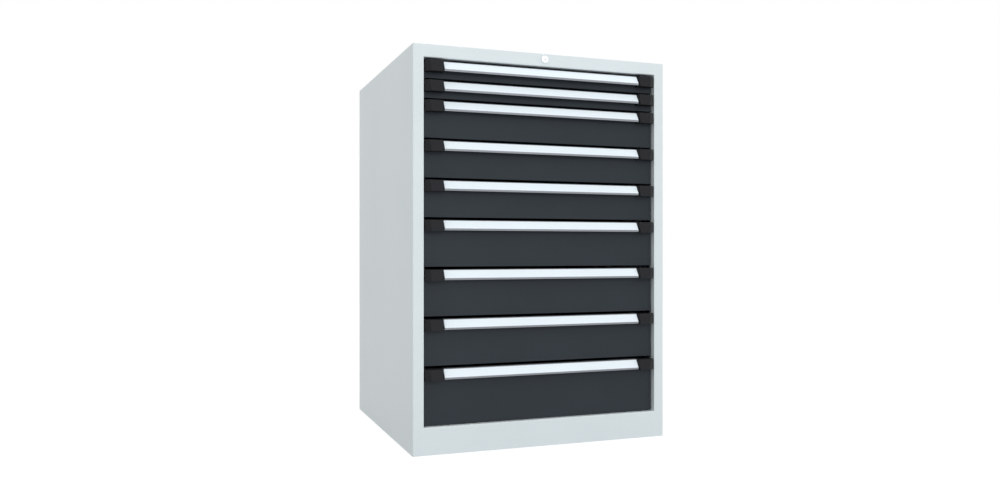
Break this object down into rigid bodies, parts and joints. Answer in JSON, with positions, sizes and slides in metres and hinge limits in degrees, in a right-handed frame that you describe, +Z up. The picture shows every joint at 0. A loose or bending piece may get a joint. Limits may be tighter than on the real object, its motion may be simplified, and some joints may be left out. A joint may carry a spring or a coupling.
{
  "type": "drawer cabinet",
  "caption": "Floor-standing workshop cabinet of folded sheet steel with full-width drawers on telescopic slides, grip profiles and a central lock.",
  "frame": {"origin": "centre of the bounding box on the floor", "axes": "+Z up, +X to the right of someone facing the drawers, -Y out of the front"},
  "size_m": [0.712, 0.7014, 1.029],
  "materials": {
    "housing_paint": "light grey powder coat, satin",
    "drawer_paint": "anthracite powder coat, satin",
    "grip_aluminium": "natural anodised",
    "cap_plastic": "black, fine moulded texture",
    "zinc_steel": "bright zinc plated",
    "lock_chrome": "polished"
  },
  "bodies": {
    "housing": {"left_side_panel": "housing_paint", "right_side_panel": "housing_paint", "top_panel": "housing_paint", "base_pan": "housing_paint", "back_panel": "housing_paint", "front_left_post": "zinc_steel", "front_right_post": "zinc_steel", "rear_left_post": "zinc_steel", "rear_right_post": "zinc_steel", "cabinet_rails": "zinc_steel", "base_corner_plates": "zinc_steel", "lock_body": "lock_chrome"},
    "lock": {"lock_cylinder": "lock_chrome", "lock_rod": "zinc_steel"},
    "lock_bar": {"lock_bar": "zinc_steel"},
    "drawer_1": {"drawer_1_tray": "drawer_paint", "drawer_1_front": "drawer_paint", "drawer_1_handle": "grip_aluminium", "drawer_1_end_caps": "cap_plastic"},
    "slide_1": {"mid_runner_1": "zinc_steel"},
    "drawer_2": {"drawer_2_tray": "drawer_paint", "drawer_2_front": "drawer_paint", "drawer_2_handle": "grip_aluminium", "drawer_2_end_caps": "cap_plastic"},
    "slide_2": {"mid_runner_2": "zinc_steel"},
    "drawer_3": {"drawer_3_tray": "drawer_paint", "drawer_3_front": "drawer_paint", "drawer_3_handle": "grip_aluminium", "drawer_3_end_caps": "cap_plastic"},
    "slide_3": {"mid_runner_3": "zinc_steel"},
    "drawer_4": {"drawer_4_tray": "drawer_paint", "drawer_4_front": "drawer_paint", "drawer_4_handle": "grip_aluminium", "drawer_4_end_caps": "cap_plastic"},
    "slide_4": {"mid_runner_4": "zinc_steel"},
    "drawer_5": {"drawer_5_tray": "drawer_paint", "drawer_5_front": "drawer_paint", "drawer_5_handle": "grip_aluminium", "drawer_5_end_caps": "cap_plastic"},
    "slide_5": {"mid_runner_5": "zinc_steel"},
    "drawer_6": {"drawer_6_tray": "drawer_paint", "drawer_6_front": "drawer_paint", "drawer_6_handle": "grip_aluminium", "drawer_6_end_caps": "cap_plastic"},
    "slide_6": {"mid_runner_6": "zinc_steel"},
    "drawer_7": {"drawer_7_tray": "drawer_paint", "drawer_7_front": "drawer_paint", "drawer_7_handle": "grip_aluminium", "drawer_7_end_caps": "cap_plastic"},
    "slide_7": {"mid_runner_7": "zinc_steel"},
    "drawer_8": {"drawer_8_tray": "drawer_paint", "drawer_8_front": "drawer_paint", "drawer_8_handle": "grip_aluminium", "drawer_8_end_caps": "cap_plastic"},
    "slide_8": {"mid_runner_8": "zinc_steel"},
    "drawer_9": {"drawer_9_tray": "drawer_paint", "drawer_9_front": "drawer_paint", "drawer_9_handle": "grip_aluminium", "drawer_9_end_caps": "cap_plastic"},
    "slide_9": {"mid_runner_9": "zinc_steel"}
  },
  "joints": [
    {"name": "lock_turn", "type": "hinge", "parent": "housing", "child": "lock", "pos_m": [0, -0.3393, 1.0145], "axis": [0, 1, 0], "range_deg": [0, 90]},
    {"name": "lock_bar_lift", "type": "slide", "parent": "housing", "child": "lock_bar", "axis": [0, 0, 1], "range_m": [0, 0.01202]},
    {"name": "drawer_1_slide", "type": "slide", "parent": "housing", "child": "drawer_1", "axis": [0, -1, 0], "range_m": [0, 0.6]},
    {"name": "slide_1_run", "type": "slide", "parent": "housing", "child": "slide_1", "axis": [0, -1, 0], "range_m": [0, 0.3]},
    {"name": "drawer_2_slide", "type": "slide", "parent": "housing", "child": "drawer_2", "axis": [0, -1, 0], "range_m": [0, 0.6]},
    {"name": "slide_2_run", "type": "slide", "parent": "housing", "child": "slide_2", "axis": [0, -1, 0], "range_m": [0, 0.3]},
    {"name": "drawer_3_slide", "type": "slide", "parent": "housing", "child": "drawer_3", "axis": [0, -1, 0], "range_m": [0, 0.6]},
    {"name": "slide_3_run", "type": "slide", "parent": "housing", "child": "slide_3", "axis": [0, -1, 0], "range_m": [0, 0.3]},
    {"name": "drawer_4_slide", "type": "slide", "parent": "housing", "child": "drawer_4", "axis": [0, -1, 0], "range_m": [0, 0.6]},
    {"name": "slide_4_run", "type": "slide", "parent": "housing", "child": "slide_4", "axis": [0, -1, 0], "range_m": [0, 0.3]},
    {"name": "drawer_5_slide", "type": "slide", "parent": "housing", "child": "drawer_5", "axis": [0, -1, 0], "range_m": [0, 0.6]},
    {"name": "slide_5_run", "type": "slide", "parent": "housing", "child": "slide_5", "axis": [0, -1, 0], "range_m": [0, 0.3]},
    {"name": "drawer_6_slide", "type": "slide", "parent": "housing", "child": "drawer_6", "axis": [0, -1, 0], "range_m": [0, 0.6]},
    {"name": "slide_6_run", "type": "slide", "parent": "housing", "child": "slide_6", "axis": [0, -1, 0], "range_m": [0, 0.3]},
    {"name": "drawer_7_slide", "type": "slide", "parent": "housing", "child": "drawer_7", "axis": [0, -1, 0], "range_m": [0, 0.6]},
    {"name": "slide_7_run", "type": "slide", "parent": "housing", "child": "slide_7", "axis": [0, -1, 0], "range_m": [0, 0.3]},
    {"name": "drawer_8_slide", "type": "slide", "parent": "housing", "child": "drawer_8", "axis": [0, -1, 0], "range_m": [0, 0.6]},
    {"name": "slide_8_run", "type": "slide", "parent": "housing", "child": "slide_8", "axis": [0, -1, 0], "range_m": [0, 0.3]},
    {"name": "drawer_9_slide", "type": "slide", "parent": "housing", "child": "drawer_9", "axis": [0, -1, 0], "range_m": [0, 0.6]},
    {"name": "slide_9_run", "type": "slide", "parent": "housing", "child": "slide_9", "axis": [0, -1, 0], "range_m": [0, 0.3]}
  ],
  "couplings": [
    {"joint": "lock_turn", "follows": "lock_bar_lift", "rad_per_m": 130.68},
    {"joint": "slide_1_run", "follows": "drawer_1_slide", "ratio": 0.5},
    {"joint": "slide_2_run", "follows": "drawer_2_slide", "ratio": 0.5},
    {"joint": "slide_3_run", "follows": "drawer_3_slide", "ratio": 0.5},
    {"joint": "slide_4_run", "follows": "drawer_4_slide", "ratio": 0.5},
    {"joint": "slide_5_run", "follows": "drawer_5_slide", "ratio": 0.5},
    {"joint": "slide_6_run", "follows": "drawer_6_slide", "ratio": 0.5},
    {"joint": "slide_7_run", "follows": "drawer_7_slide", "ratio": 0.5},
    {"joint": "slide_8_run", "follows": "drawer_8_slide", "ratio": 0.5},
    {"joint": "slide_9_run", "follows": "drawer_9_slide", "ratio": 0.5}
  ]
}
